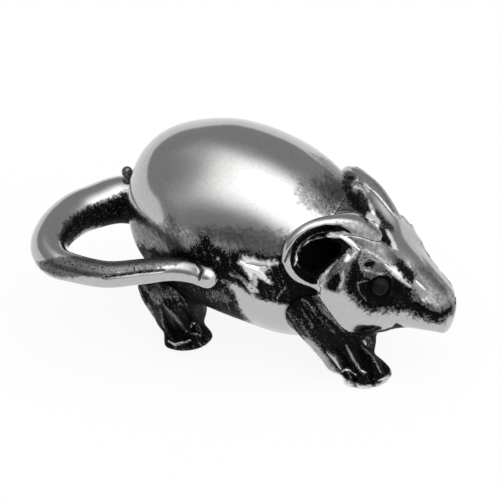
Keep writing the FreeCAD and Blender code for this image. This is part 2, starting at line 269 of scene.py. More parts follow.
# Metal: colours, noise as grains to a metre and detail, and where each state sets in
silver_low = (0.46, 0.46, 0.455, 1)
silver_high = (0.50, 0.50, 0.495, 1)
silver_dull = (0.14, 0.14, 0.138, 1)
silver_brushed = (0.8, 0.8, 0.79, 1)
patina_black = (0.002, 0.002, 0.002, 1)
fine_noise = (7000, 3)
broad_noise = (2600, 2)
fine_noise_gain = 2.2
broad_noise_gain = 0.7
dull_noise_gain = 0.5
black_edge = (1.78, 2.12)
dull_edge = (-0.05, 0.50)
brushed_edge = (-0.9, -0.5)
silver_edge = (0.35, 0.65)
shine_edge = (0.35, 0.75)
shine_gain = 0.08
dull_roughness = 0.12
brushed_roughness = 0.3
black_roughness = 0.2
# Roughness and the patina's index of refraction in each slot
finishes = {"antique_silver": (0.10, 1.10), "polished_eye": (0.05, 1.22)}

# Floor, and its own white in the picture
floor_radius = 2.0  # metres
floor_facets = 96
floor_shade = 0.9
floor_glow_share = 0.9

# Studio: white paper low down at the back, grey above, darker behind the camera
paper_shade = 0.95
grey_shade = 0.35
gloom_shade = 0.31
paper_front = (0.10, 0.55)
paper_height = (0.24, -0.02)  # at the back and at the front
paper_fade = 0.025
gloom_front = (0.40, 0.75)
gloom_height = (0.50, 0.80)
light_level = 2.5
light_way = Vector((0.49, -0.24, 0.84)).normalized()
light_half_angles = (0.86, 0.57)
light_squareness = 3.5
light_rise = 0.2


def box_of(node):
    """A CAD node's lowest and highest corners in millimetres."""
    return [np.array(corner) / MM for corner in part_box(node)]


def smooth(t):
    return t * t * (3 - 2 * t)


def step_up(value, low, high):
    """A smooth step from 0 to 1 while value goes from low to high."""
    return smooth(np.clip((value - low) / (high - low), 0, 1))


def fading(value, amount, low, high):
    """An amount that fades out while value goes from low to high."""
    return amount * (1 - step_up(value, low, high))


def hump(distance, width, flatness=2):
    """1 at no distance, falling off past a width."""
    return np.exp(-(distance / width) ** flatness)


def curve_samples(rows, count):
    """The rows of a table, joined by a smooth curve."""
    rows = np.array(rows, float)
    padded = np.vstack([2 * rows[0] - rows[1], rows, 2 * rows[-1] - rows[-2]])
    samples = []
    for a, b, c, d in zip(padded, padded[1:], padded[2:], padded[3:]):
        for t in np.arange(count) / count:
            samples.append(0.5 * (2 * b + (c - a) * t + (2 * a - 5 * b + 4 * c - d) * t**2
                                  + (3 * b - a - 3 * c + d) * t**3))
    samples.append(rows[-1])
    return np.array(samples)


class Grid:
    """A box of voxels that all the distance fields share."""

    def __init__(self, low, high):
        self.low = np.floor(np.array(low) / voxel).astype(int)
        self.count = np.ceil(np.array(high) / voxel).astype(int) - self.low + 1
        self.axes = [(self.low[i] + np.arange(self.count[i])) * voxel for i in range(3)]

    def full(self):
        return np.full(self.count, band, np.float32)

    def part(self, low, high):
        """Slices and axes of the voxels between two corners."""
        cut = []
        axes = []
        for i in range(3):
            a = int(np.clip(np.floor(low[i] / voxel) - self.low[i], 0, self.count[i] - 2))
            b = int(np.clip(np.ceil(high[i] / voxel) - self.low[i] + 1, a + 2, self.count[i]))
            cut.append(slice(a, b))
            axes.append(self.axes[i][a:b].astype(np.float32))
        x, y, z = axes
        return tuple(cut), x[:, None, None], y[None, :, None], z[None, None, :]


def as_distance(field):
    """A function that is zero on a surface, turned into the distance from it."""
    slope = sum(g**2 for g in np.gradient(field, voxel))
    flattest, steepest = slope_range
    slope = np.sqrt(np.clip(slope, flattest**2, steepest**2))
    return np.clip(field / slope, -band, band).astype(np.float32)


def egg_field(grid, shares, size, start, end_z):
    """Distance from the closed form through the oval sections in shares."""
    rows = curve_samples(shares, egg_steps)
    place, rise, drop, half = np.clip(rows, 0, None).T
    length, width, height = size
    reach = height * max(rise.max(), drop.max())
    low = np.array([start[0], -width * half.max(), min(start[1], end_z) - reach])
    high = np.array([start[0] + length, width * half.max(), max(start[1], end_z) + reach])
    cut, x, y, z = grid.part(low + home - 2 * band, high + home + 2 * band)
    t = (x - home[0] - start[0]) / length
    half, rise, drop = [np.maximum(np.interp(t, place, share, 0, 0), least_share) * scale
                        for share, scale in ((half, width), (rise, height), (drop, height))]
    up = z - (start[1] + (end_z - start[1]) * np.clip(t, 0, 1))
    tall = np.where(up > 0, rise, drop)
    radius = np.sqrt(((y - home[1]) / half) ** 2 + (up / tall) ** 2)
    field = grid.full()
    form = as_distance((radius - 1).astype(np.float32) * min(width, height) / 2)
    field[cut] = np.maximum(form, (np.abs(t - 0.5) - 0.5) * length)
    return field


def bead_string(grid, field, points, radii):
    """Lowers a field to the distance from balls along a line."""
    for point, radius in zip(points, radii):
        reach = radius + band
        cut, x, y, z = grid.part(point - reach, point + reach)
        distance = np.sqrt((x - point[0]) ** 2 + (y - point[1]) ** 2 + (z - point[2]) ** 2) - radius
        field[cut] = np.minimum(field[cut], np.clip(distance, -band, band))
    return field


def even_steps(points, spacing):
    """A line of points and their radii, stepped evenly along its length."""
    runs = np.linalg.norm(np.diff(points[:, :3], axis=0), axis=1)
    way = np.concatenate([[0], np.cumsum(runs)])
    steps = np.linspace(0, way[-1], max(2, int(way[-1] / spacing)))
    return np.array([np.interp(steps, way, column) for column in points.T]).T


def tail_field(grid):
    rows = curve_samples(tail_shares, tail_steps)
    points = np.column_stack([
        tail_rear_x + tail_loop[0] * rows[:, 0] + home[0],
        -tail_loop[1] * rows[:, 1] + home[1],
        np.full(len(rows), tail_z),
        tail_radius * rows[:, 2],
    ])
    points = even_steps(points, tail_spacing)
    return bead_string(grid, grid.full(), points[:, :3], points[:, 3])


def ear_axes(side):
    """The way out of the ear's cup, the way along the ear and the way up it."""
    level = np.array([math.cos(ear_turn), side * math.sin(ear_turn), 0])
    out = level * math.cos(ear_tip_back) + np.array([0, 0, math.sin(ear_tip_back)])
    inward = np.array([math.sin(ear_turn), -side * math.cos(ear_turn), 0])
    upward = side * np.cross(out, inward)
    along = inward * math.cos(ear_front_up) + upward * math.sin(ear_front_up)
    return out, along, side * np.cross(out, along)


def ear_centre(side):
    x, y, z = ear_places[side]
    return np.array([x, side * y, z]) + home


def bowl(grid, side, inset, depth):
    """Distance from the ellipsoid of an ear's cup, and height above the plane of its rim."""
    out, along, up = ear_axes(side)
    centre = ear_centre(side)
    cut, x, y, z = grid.part(centre - ear_reach, centre + ear_reach)
    x, y, z = x - centre[0], y - centre[1], z - centre[2]
    a = (x * along[0] + y * along[1] + z * along[2]) / (ear_halves[0] - inset)
    b = (x * up[0] + y * up[1] + z * up[2]) / (ear_halves[1] - inset)
    c = x * out[0] + y * out[1] + z * out[2]
    radius = np.sqrt(a**2 + b**2 + (c / depth) ** 2)
    field = grid.full()
    field[cut] = as_distance((radius - 1) * depth)
    flat = -grid.full()
    flat[cut] = np.clip(c, -band, band)
    return field, flat


def ear_fields(grid, side):
    """Distance from an ear, from the hollow inside its cup and from the groove in its rim."""
    out, along, up = ear_axes(side)
    centre = ear_centre(side)
    outer, flat = bowl(grid, side, ear_rim, ear_depth)
    hollow, _ = bowl(grid, side, 2 * ear_rim, ear_depth - ear_wall)
    ear = np.maximum(np.maximum(outer, -hollow), flat)
    turns = np.linspace(0, 2 * math.pi, ear_steps, endpoint=False)[:, None]

    def loop(inset, height):
        """Points round the ear, in from its outer edge and out from its rim's middle."""
        across = along * np.cos(turns) * (ear_halves[0] - inset)
        across = across + up * np.sin(turns) * (ear_halves[1] - inset)
        return centre + across + out * height

    ear = bead_string(grid, ear, loop(ear_rim, 0), np.full(len(turns), ear_rim))
    groove = bead_string(grid, grid.full(), loop(*groove_place), np.full(len(turns), groove_radius))
    return np.maximum(ear, -groove), hollow, groove


def blurred(field, passes):
    """A field smoothed a little along each axis."""
    for _ in range(passes):
        for axis in range(3):
            middle = field.swapaxes(0, axis)
            middle[1:-1] = (middle[:-2] + 2 * middle[1:-1] + middle[2:]) / 4
    return field


def node_field(grid, node):
    """Distance from a CAD node's own surface, with its facets softened."""
    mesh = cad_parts[node].data
    mesh.calc_loop_triangles()
    points = np.array([vertex.co for vertex in mesh.vertices], np.float32) / MM
    corners = np.array([triangle.vertices for triangle in mesh.loop_triangles])
    points, where = np.unique(np.round(points, weld_digits), axis=0, return_inverse=True)
    corners = where.reshape(-1)[corners].reshape(-1, 3)
    transform = openvdb.createLinearTransform(voxelSize=voxel)
    level_set = openvdb.FloatGrid.createLevelSetFromPolygons(
        points.astype(np.float32), triangles=corners.astype(np.uint32), transform=transform,
        halfWidth=band / voxel)
    field = grid.full()
    level_set.copyToArray(field, ijk=tuple(int(v) for v in grid.low))
    low, high = box_of(node)
    cut, *_ = grid.part(low - band, high + band)
    field[cut] = blurred(field[cut].copy(), facet_blur)
    return field


def melt(a, b, width):
    """The lower of two fields, with a fillet where they meet."""
    near = np.maximum(width - np.abs(a - b), 0) / width
    return np.minimum(a, b) - near**2 * width / 4


def mesh_of(grid, field, low, high):
    """A closed mesh of where a field is below zero, between two corners."""
    cut, *_ = grid.part(low - 2 * voxel, high + 2 * voxel)
    piece = field[cut].copy()
    for axis in range(3):
        edge = piece.swapaxes(0, axis)
        edge[0] = edge[-1] = band
    volume = openvdb.FloatGrid(band)
    volume.copyFromArray(piece)
    points, quads = volume.convertToQuads(isovalue=0)
    points = (points + [grid.low[i] + cut[i].start for i in range(3)]) * voxel
    return np.array(points, float), np.array(quads, int)


def vertex_normals(points, quads):
    """Unit normals of a mesh's points."""
    a = points[quads[:, 2]] - points[quads[:, 0]]
    b = points[quads[:, 3]] - points[quads[:, 1]]
    face = np.cross(a, b)
    normals = np.zeros_like(points)
    for k in range(3):
        for corner in range(4):
            normals[:, k] += np.bincount(quads[:, corner], face[:, k], len(points))
    return normals / np.maximum(np.linalg.norm(normals, axis=1), least_length)[:, None]


class Neighbours:
    """The points that each point of a mesh is joined to."""

    def __init__(self, quads, count):
        self.ends = np.vstack([quads[:, [0, 1]], quads[:, [1, 2]], quads[:, [2, 3]], quads[:, [3, 0]]]).T
        self.count = np.maximum(np.bincount(self.ends[0], minlength=count), 1)

    def mean(self, points):
        here, there = self.ends
        sums = [np.bincount(here, points[there, k], len(points)) for k in range(3)]
        return np.array(sums).T / self.count[:, None]


def relax(points, quads):
    """Evens out the steps that the voxels leave, without shrinking the form."""
    neighbours = Neighbours(quads, len(points))
    for _ in range(relax_passes):
        for pull in relax_pulls:
            points = points + pull * (neighbours.mean(points) - points)
    return points


def how_proud(points, quads):
    """How far each point stands out from the mesh without its fine relief."""
    neighbours = Neighbours(quads, len(points))
    soft = points
    for _ in range(proud_passes):
        soft = neighbours.mean(soft)
    return ((points - soft) * vertex_normals(points, quads)).sum(1)


def add_mesh(name, points, faces, soot):
    """A smooth piece at the origin, with the patina of each point."""
    mesh = bpy.data.meshes.new(name)
    mesh.from_pydata((points * MM).tolist(), [], faces)
    mesh.shade_smooth()
    layer = mesh.attributes.new("soot", "FLOAT", "POINT")
    layer.data.foreach_set("value", soot.astype(np.float32))
    piece = bpy.data.objects.new(name, mesh)
    bpy.context.scene.collection.objects.link(piece)
    return piece


def cell_corners(base, part):
    """The corners of each point's cell, with their shares in a value between them."""
    for corner in range(8):
        step = np.array([corner & 1, corner >> 1 & 1, corner >> 2 & 1])
        yield tuple((base + step).T), np.prod(np.where(step == 1, part, 1 - part), axis=1)


def sample(grid, field, points):
    """A field's values at points between the voxels."""
    place = points / voxel - grid.low
    base = np.clip(np.floor(place).astype(int), 0, grid.count - 2)
    return sum(share * field[corner] for corner, share in cell_corners(base, place - base))


def speckle(points, size, seed):
    """Smooth noise from 0 to 1."""
    place = points / size + seed * seed_step
    base = np.floor(place).astype(np.int64)
    value = 0
    for (i, j, k), share in cell_corners(base, smooth(place - base)):
        mixed = (i * scatter[0] + j * scatter[1] + k * scatter[2] + seed * scatter[3]) & cell_bits
        mixed = ((mixed ^ (mixed >> 13)) * scatter_again) & cell_bits
        value = value + share * ((mixed ^ (mixed >> 16)) & value_bits) / value_bits
    return value


def line_distance(spots, line):
    """How far points in the picture are from a line, and how far along it, from 0 to 1."""
    runs = np.linalg.norm(np.diff(line, axis=0), axis=1)
    way = np.concatenate([[0], np.cumsum(runs)]) / runs.sum()
    best = np.full(len(spots), np.inf)
    along = np.zeros(len(spots))
    for a, b, start, end in zip(line, line[1:], way, way[1:]):
        t = np.clip(((spots - a) @ (b - a)) / ((b - a) @ (b - a)), 0, 1)
        distance = np.linalg.norm(spots - a - t[:, None] * (b - a), axis=1)
        nearer = distance < best
        best[nearer] = distance[nearer]
        along[nearer] = (start + t * (end - start))[nearer]
    return best, along


def inside_outline(spots, outline):
    """True where a point of the picture lies inside a closed outline."""
    inside = np.zeros(len(spots), bool)
    x, y = spots.T
    for (ax, ay), (bx, by) in zip(outline, np.roll(outline, -1, axis=0)):
        if ay != by:
            crosses = (ay > y) != (by > y)
            inside ^= crosses & (x < ax + (y - ay) * (bx - ax) / (by - ay))
    return inside


class Castings:
    """The points of all castings, with their relief and patina.

    Each point is looked up in the picture where the camera sees it. Points of the far side are looked up
    where it sees their mirror image, unless folded is false.
    """

    def __init__(self, shapes):
        self.spans = {}
        first = 0
        for name, (points, _) in shapes.items():
            self.spans[name] = slice(first, first + len(points))
            first += len(points)
        self.points = np.vstack([points for points, _ in shapes.values()])
        self.normals = np.vstack([vertex_normals(points, quads) for points, quads in shapes.values()])
        self.lift = np.zeros(first)
        self.soot = np.full(first, CLEAN)
        fine = speckle(self.points, *fine_grain)
        coarse = speckle(self.points, *coarse_grain)
        self.grain = fine_grain_share * fine + (1 - fine_grain_share) * coarse
        self.direct = self.seen(self.points, self.normals)
        self.folded = self.seen(*self.fold())

    def fold(self):
        """Points and normals with the far side mirrored onto the near side."""
        far = self.points[:, 1] > home[1]
        points = self.points.copy()
        normals = self.normals.copy()
        for name, setback in (("left_front_leg", front_setback), ("left_hind_leg", hind_setback)):
            share = np.clip((leg_top - points[self.spans[name], 2]) / (leg_top - paw_top), 0, 1)
            points[self.spans[name], 0] += setback * share
        points[far, 1] = 2 * home[1] - points[far, 1]
        normals[far, 1] = -normals[far, 1]
        return points, normals

    def seen(self, points, normals):
        """Each point's place in the picture, and how far it faces the camera."""
        place = points - camera_target
        scale = image_size / view_width * camera_distance / (camera_distance - place @ way_back)
        spots = image_size / 2 + np.column_stack([place @ way_right * scale, -place @ way_up * scale])
        view = camera_place - points
        facing = (normals * view).sum(1) / np.linalg.norm(view, axis=1)
        return spots, step_up(facing, *facing_edge)

    def near(self, names, line, reach, folded):
        """Indexes, places in the picture and facing of the points of some castings near a line."""
        spots, facing = self.folded if folded else self.direct
        low = line.min(0) - reach
        high = line.max(0) + reach
        found = []
        for name in names:
            part = spots[self.spans[name]]
            inside = np.nonzero(np.all((part > low) & (part < high), axis=1))[0]
            found.append(inside + self.spans[name].start)
        found = np.concatenate(found)
        return found, spots[found], facing[found]

    def stroke(self, names, width, lift, soot, *lines, folded=True):
        """Ridges, grooves or streaks along lines, thinning out towards their ends."""
        for line in lines:
            line = np.array(line, float)
            chosen, spots, facing = self.near(names, line, stroke_reach * width, folded)
            distance, along = line_distance(spots, line)
            fullness = np.sqrt(np.sin(math.pi * np.clip(along, 0, 1)))
            swell = stroke_end_share + (1 - stroke_end_share) * fullness
            weight = hump(distance, width * swell) * facing
            self.lift[chosen] += lift * weight
            self.soot[chosen] += soot * weight

    def patch(self, names, soot, edge, outline, folded=True):
        """Patina, or a polished place, inside an outline with a ragged edge."""
        outline = np.array(outline, float)
        chosen, spots, facing = self.near(names, outline, edge, folded)
        distance, _ = line_distance(spots, np.vstack([outline, outline[:1]]))
        depth = np.where(inside_outline(spots, outline), distance, -distance)
        ragged = depth + (self.grain[chosen] - 0.5) * patch_raggedness * edge
        weight = step_up(ragged, -edge / 2, edge / 2) * facing
        self.soot[chosen] += (soot - self.soot[chosen]) * weight

    def streaks(self, names, slant, soot):
        """Fur marks at a slant across the picture, strongest in the patina."""
        spots, facing = self.folded
        across = spots[:, 0] * math.cos(slant) + spots[:, 1] * math.sin(slant)
        along = spots[:, 1] * math.cos(slant) - spots[:, 0] * math.sin(slant)
        places = [across / fur_spacing, along / (fur_length * fur_spacing), self.points[:, 1] * fur_side_step]
        marks = speckle(np.column_stack(places), 1.0, fur_seed)
        for name in names:
            span = self.spans[name]
            weight = facing[span] * np.clip(self.soot[span], 0, 1)
            self.lift[span] += fur_lift * (marks[span] - 0.5) * weight
            self.soot[span] -= soot * step_up(marks[span], *fur_edge) * weight


# Outlines in the photograph's pixels: castings, patina, width of the edge, corners
patches = [
    # Under the dome, and the polished crescent of the flank
    (BODY, 0.15, 14, [(124, 214), (170, 230), (212, 226), (262, 232), (300, 240), (340, 300), (300, 345),
        (130, 310), (118, 260)]),
    (BODY, 0.22, 14, [(168, 214), (178, 222), (184, 236), (180, 250), (168, 246), (160, 232)]),
    (BODY, 0.05, 18, [(240, 226), (262, 230), (284, 232), (300, 240), (290, 256), (262, 252), (244, 246)]),
    (BODY, BLACK, 10, [(124, 238), (146, 247), (166, 252), (184, 251), (197, 246), (201, 236), (209, 234),
        (214, 247), (228, 253), (244, 250), (262, 254), (284, 258), (300, 260), (340, 300), (345, 350),
        (300, 345), (240, 330), (200, 330), (130, 310), (118, 260)]),
    (BODY, BRUSHED, 8, [(238, 263), (243, 256), (262, 260), (278, 263), (271, 267), (266, 273), (271, 283),
        (264, 280), (258, 276), (255, 284), (256, 292), (250, 293), (251, 281), (246, 271)]),
    (BODY, 0.55, 9, [(207, 290), (220, 289), (232, 295), (234, 303), (220, 303), (208, 298)]),
    (BODY, CLEAN, 6, [(222, 280), (238, 285), (251, 294), (263, 299), (279, 303), (289, 305), (302, 317),
        (311, 331), (326, 346), (300, 350), (262, 335), (244, 316), (238, 304), (233, 292)]),
    (BODY + HEAD, 0.1, 16, [(296, 178), (330, 178), (352, 196), (364, 222), (345, 226), (318, 216),
        (296, 204)]),
    # Round the eye and down the side of the muzzle
    (HEAD, DULL, 9, [(404, 272), (412, 264), (432, 268), (448, 286), (456, 300), (452, 314), (441, 316),
        (430, 311), (414, 304), (411, 290)]),
    (HEAD, BLACK, 13, [(358, 252), (350, 262), (345, 273), (344, 284), (347, 294), (353, 299), (361, 305),
        (370, 311), (384, 311), (398, 310), (414, 314), (431, 320), (442, 321), (452, 313), (454, 305),
        (441, 312), (430, 309), (416, 301), (414, 292), (410, 285), (400, 279), (390, 273), (384, 268),
        (372, 256)]),
    (HEAD, 0.36, 4, [(360, 251), (372, 254), (386, 265), (384, 276), (372, 280), (365, 278), (360, 270),
        (358, 260)]),
    (HEAD, BLACK, 6, [(387, 260), (394, 256), (404, 263), (416, 275), (412, 282), (401, 275)]),
    (HEAD, BLACK, 1.6, [(346, 332), (368, 332), (386, 329), (392, 327), (396, 323), (404, 327), (420, 332),
        (430, 334), (430, 345), (346, 345)]),
    # Front end of the ear's rim
    (HEAD + EARS, DULL, 6, [(334, 221), (352, 220), (376, 226), (392, 242), (396, 262), (386, 266),
        (372, 254), (358, 247), (346, 239), (334, 234)]),
    # Inside the ear and the pit in the fold at its front
    (HEAD + BODY + EARS, BLACK, 2, [(301, 247), (310, 240), (326, 238), (341, 239), (350, 245), (353, 250),
        (345, 255), (336, 260), (328, 266), (320, 276), (316, 284), (306, 281), (301, 271), (299, 258)]),
    (HEAD, 0.4, 5, [(334, 262), (348, 248), (358, 250), (349, 266), (346, 280), (340, 294), (326, 290),
        (322, 284)]),
    (HEAD, BLACK, 2, [(327, 283), (331, 274), (339, 272), (341, 281), (335, 291), (328, 289)]),
    # Top of the hind leg
    (HAUNCHES, 0.5, 9, [(148, 286), (178, 285), (180, 294), (162, 300), (150, 300)]),
    # Left side of the front leg
    (ARMS, 0.75, 9, [(280, 296), (289, 307), (300, 318), (310, 331), (320, 344), (310, 350), (290, 330)]),
    (ARMS, 0.05, 4, [(303, 336), (313, 341), (324, 352), (334, 366), (344, 378), (352, 384), (345, 392),
        (328, 380), (316, 362), (306, 348)]),
    # Root of the tail
    (TAIL, 0.85, 9, [(58, 240), (64, 226), (78, 212), (98, 202), (126, 192), (142, 200), (142, 250),
        (118, 246), (100, 228), (86, 230), (76, 240), (70, 248)]),
    # Front of the tail
    (TAIL, 0.38, 5, [(36, 262), (60, 256), (100, 256), (150, 254), (184, 252), (192, 260), (160, 269),
        (130, 273), (100, 276), (60, 278), (40, 270)]),
]
# Strokes in the photograph's pixels: castings, width, lift in mm, patina (on the tail's front a painted dark
# reflection), lines
strokes = [
    # Broad forms of the head
    (HEAD, 11, 0.45, 0, [(374, 262), (388, 266), (400, 274)]),
    (HEAD, 9, 0.22, 0, [(424, 303), (436, 306)]),
    (HEAD, 7, -0.3, 0, [(396, 290), (408, 298), (416, 306)]),
    # Brow
    (HEAD, 2, 0.2, -0.9, [(384, 265), (392, 272), (400, 279), (411, 287)]),
    (HEAD, 2.2, 0.12, -0.5, [(416, 281), (421, 286), (425, 290)]),
    (HEAD, 2.6, -0.3, 0.9, [(366, 265), (372, 263)]),
    (HEAD, 1.6, 0.1, -0.3, [(364, 270), (372, 272), (382, 275)]),
    # Fold at the front of the ear
    (HEAD + EARS, 4.2, 0.25, -0.2, [(321, 285), (331, 276), (341, 268), (350, 259), (358, 249)]),
    (HEAD, 2.4, 0.15, -0.5, [(343, 272), (342, 281), (340, 288)]),
    (HEAD, 2.6, 0.1, -0.5, [(344, 262), (348, 255)]),
    (HEAD, 2.6, 0.2, -0.5, [(326, 272), (331, 264), (337, 260)]),
    # Nose and mouth
    (HEAD, 1.6, -0.2, 0.8, [(415, 304), (430, 312), (441, 316), (452, 308)]),
    # Lids
    (HEAD, 1.3, 0.12, -0.5, [(357, 282), (360, 293), (367, 302)], [(358, 283), (368, 281)]),
    # Ears
    (EARS, 1.8, -0.3, 0.8, [(284, 262), (289, 252), (298, 239), (309, 231), (325, 226.5), (339, 227),
        (350, 233)]),
    (EARS + HEAD + BODY, 1.9, 0.2, -2.2, [(294, 265), (300, 249), (310, 240), (325, 236), (340, 236),
        (351, 243), (359, 250)]),
    # Fur on the shoulder
    (BODY, 2.6, 0.25, -0.3, [(240, 262), (250, 268), (261, 274), (270, 283)]),
    (BODY, 2.2, -0.2, 0.5, [(246, 264), (256, 265), (267, 266)]),
    (BODY, 2, -0.2, 0.6, [(254, 274), (252, 283), (252, 290)]),
    (BODY, 1.8, 0.15, -0.6, [(229, 273), (241, 278), (250, 289)]),
    (BODY, 1.4, 0.1, -0.4, [(233, 270), (245, 279), (253, 290)]),
    (BODY, 1.6, 0.12, -0.5, [(277, 298), (281, 292), (285, 287)]),
    (BODY, 1.8, 0.2, -0.9, [(217, 258), (219, 259)]),
    # Front leg: tendons, valleys and bright crests
    (ARMS, 4.5, 0.3, 0, [(328, 350), (337, 361), (343, 370)]),
    (ARMS, 4, 0.3, 0, [(350, 352), (358, 366), (362, 374)]),
    (ARMS, 4, 0.25, 0, [(368, 352), (376, 364), (381, 374)]),
    (ARMS, 2.6, -0.35, 0, [(338, 350), (346, 362), (352, 374), (355, 380)], [(360, 352), (367, 364),
        (372, 376)]),
    (ARMS, 2.2, -0.25, 0, [(322, 346), (330, 360), (338, 370)]),
    (ARMS, 2.4, 0.2, -1, [(327, 351), (334, 356), (338, 361), (341, 366)]),
    (ARMS, 1.5, 0.2, -0.8, [(346, 345), (351, 356), (357, 366), (361, 372)]),
    (ARMS, 2.2, 0.15, -1.1, [(362, 372), (366, 372)]),
    (ARMS, 1.5, 0.25, -1.1, [(342, 369), (349, 370), (356, 375)], [(363, 340), (365, 345)]),
    (ARMS, 1, 0.2, -0.5, [(365, 349), (373, 360), (380, 374)]),
    (ARMS, 1.2, 0.2, -0.9, [(378, 381), (389, 375)]),
    (ARMS, 3.5, 0.15, -0.25, [(305, 301), (315, 311), (333, 331)]),
    (ARMS, 3, 0.12, -0.25, [(319, 305), (335, 322)]),
    # Toes of the front paw
    (ARMS, 1.8, -0.28, 0.5, [(353, 378), (356, 390)], [(370, 376), (375, 388)], [(383, 367), (393, 376)]),
    (ARMS, 2.6, 0.1, -0.5, [(345, 383), (350, 386)], [(360, 386), (368, 387)], [(382, 381), (388, 378)]),
    # Tail: a painted dark reflection along its front, pressed in as a shallow groove, and marks on its tip
    (TAIL, 1.5, -0.1, 1, [(104, 277.5), (126, 274.5), (140, 272.5), (164, 270.5)]),
    (TAIL, 2, -0.15, 0.9, [(198, 262), (201, 270), (199, 280)]),
    # Hind leg
    (HAUNCHES, 4, 0.3, 0, [(166, 304), (176, 318), (186, 332)]),
    (HAUNCHES, 2.6, -0.35, 0, [(160, 306), (168, 322), (174, 336)]),
    (HAUNCHES, 2.6, -0.3, 0, [(180, 306), (190, 320), (194, 332)]),
    (HAUNCHES, 2.4, -0.3, 0, [(184, 338), (190, 348)], [(198, 332), (205, 342)]),
    (HAUNCHES, 1.5, 0.15, -0.5, [(164, 303), (175, 314), (187, 332)]),
    (HAUNCHES, 1.3, 0.12, -0.4, [(158, 301), (161, 312), (164, 327)]),
    (HAUNCHES, 2.2, 0.1, -0.5, [(148, 303), (155, 320)]),
    (HAUNCHES, 1.8, 0.25, -1.1, [(169, 341), (176, 344), (190, 340)]),
    (HAUNCHES, 1.3, 0.25, -1, [(191, 328), (194, 323)]),
    (HAUNCHES, 1.3, 0.25, -0.9, [(193, 333), (201, 335)]),
]
# The same for the fur between the ears, which lies across the middle plane
crown_patches = [
    (HEAD + BODY, 0.4, 16, [(318, 186), (344, 178), (352, 200), (368, 219), (350, 224), (334, 214),
        (318, 204)]),
    (HEAD + EARS, 0.75, 8, [(350, 198), (360, 190), (368, 200), (374, 214), (368, 217), (356, 208)]),
    (HEAD + BODY + EARS, BLACK, 4, [(344, 176), (350, 178), (353, 192), (361, 205), (373, 217), (367, 221),
        (354, 210), (346, 196), (343, 184)]),
    (HEAD, 0.65, 5, [(364, 218), (378, 210), (393, 228), (390, 244), (376, 240), (368, 232)]),
    (HEAD, BRUSHED, 3, [(367, 212), (374, 212), (380, 220), (378, 230), (371, 228), (366, 220)]),
    (HEAD, BRUSHED, 4, [(386, 229), (391, 232), (398, 250), (392, 250), (386, 240)]),
    (HEAD, BLACK, 3, [(378, 228), (384, 228), (390, 240), (392, 248), (384, 243), (376, 236)]),
]
crown_strokes = [
    (HEAD + EARS, 3, 0, -0.7, [(365, 184), (368, 192)]),
    (HEAD, 2.2, -0.2, 1, [(373, 221), (374, 224)]),
    (HEAD, 1.6, 0.2, -0.9, [(368, 200), (371, 208), (374, 214)], [(374, 232), (380, 237)]),
    (HEAD, 1.6, -0.2, 0.9, [(378, 231), (384, 240)]),
]


def casting_fields(grid):
    """Distances from the castings and from the ears' hollows and rim grooves."""
    body_egg = egg_field(grid, body_shares, body_size, body_start, body_end_z)
    head_egg = blurred(egg_field(grid, head_shares, head_size, head_start, head_end_z), head_blur)
    fields = {"tail": np.maximum(tail_field(grid), -body_egg)}
    hollows = grid.full()
    grooves = grid.full()
    for word, side in sides:
        ear, hollow, groove = ear_fields(grid, side)
        hollows = np.minimum(hollows, hollow)
        grooves = np.minimum(grooves, groove)
        fields[word + "_ear"] = np.maximum(np.maximum(ear, -head_egg), -body_egg)
        for leg in leg_fillets:
            fields[word + leg] = node_field(grid, word + leg)
    fields["head"] = np.maximum(np.maximum(head_egg, -body_egg), -hollows)
    fields["body_shell"] = np.maximum(body_egg, -hollows)
    return fields, hollows, grooves


def growing_width(grid, start, width, run):
    """A width that gains some more between two distances ahead of a place."""
    share = step_up(grid.axes[0] - start, *run)[:, None, None]
    return (width[0] + width[1] * share).astype(np.float32)


def fillet_widths(grid):
    widths = {"tail": tail_fillet}
    widths["head"] = growing_width(grid, home[0] + head_start[0], head_fillet, head_fillet_run)
    for word, side in sides:
        widths[word + "_ear"] = growing_width(grid, ear_centre(side)[0], ear_fillet, ear_fillet_run)
        for leg, width in leg_fillets.items():
            widths[word + leg] = width
    return widths


def casting_shapes(grid, fields):
    """Points and quads of each casting in the melted whole, and every point's gap to the rest."""
    widths = fillet_widths(grid)
    total = fields["body_shell"]
    for name, field in fields.items():
        if name != "body_shell":
            total = melt(total, field, widths[name])
    shapes = {}
    gaps = []
    for name, field in fields.items():
        low, high = box_of(name)
        others = np.minimum.reduce([other for word, other in fields.items() if word != name])
        points, quads = mesh_of(grid, np.maximum(total, (field - others) / 2), low - margin, high + margin)
        points = relax(points, quads)
        shapes[name] = (points, quads)
        gaps.append(sample(grid, others, points))
    return shapes, np.concatenate(gaps)


def clear_far_cheek(castings):
    """Takes the mirrored patina off the far cheek where the camera sees it."""
    span = castings.spans["head"]
    far = np.nonzero(castings.points[span, 1] > home[1] + far_cheek_y)[0] + span.start
    castings.soot[far] += (CLEAN - castings.soot[far]) * castings.direct[1][far]


def darken_hollows(castings, grid, gaps, hollows, grooves):
    """Patina in the seams between castings and in the ears' hollows and grooves."""
    points = castings.points
    crown = (points[:, 2] > crown_z) & (points[:, 0] < home[0] + crown_front_x)
    castings.soot += np.where(crown, crown_seam_share, 1) * fading(gaps, *seam_soot)
    castings.soot += fading(sample(grid, hollows, points), *hollow_soot)
    castings.soot += fading(sample(grid, grooves, points), *groove_soot)


def polish_soles(castings):
    """Rubs the low sides of the front paws bright."""
    for name in ARMS:
        span = castings.spans[name]
        height = castings.points[span, 2] + (castings.grain[span] - 0.5) * sole_raggedness
        castings.soot[span] -= fading(height, *sole_polish)


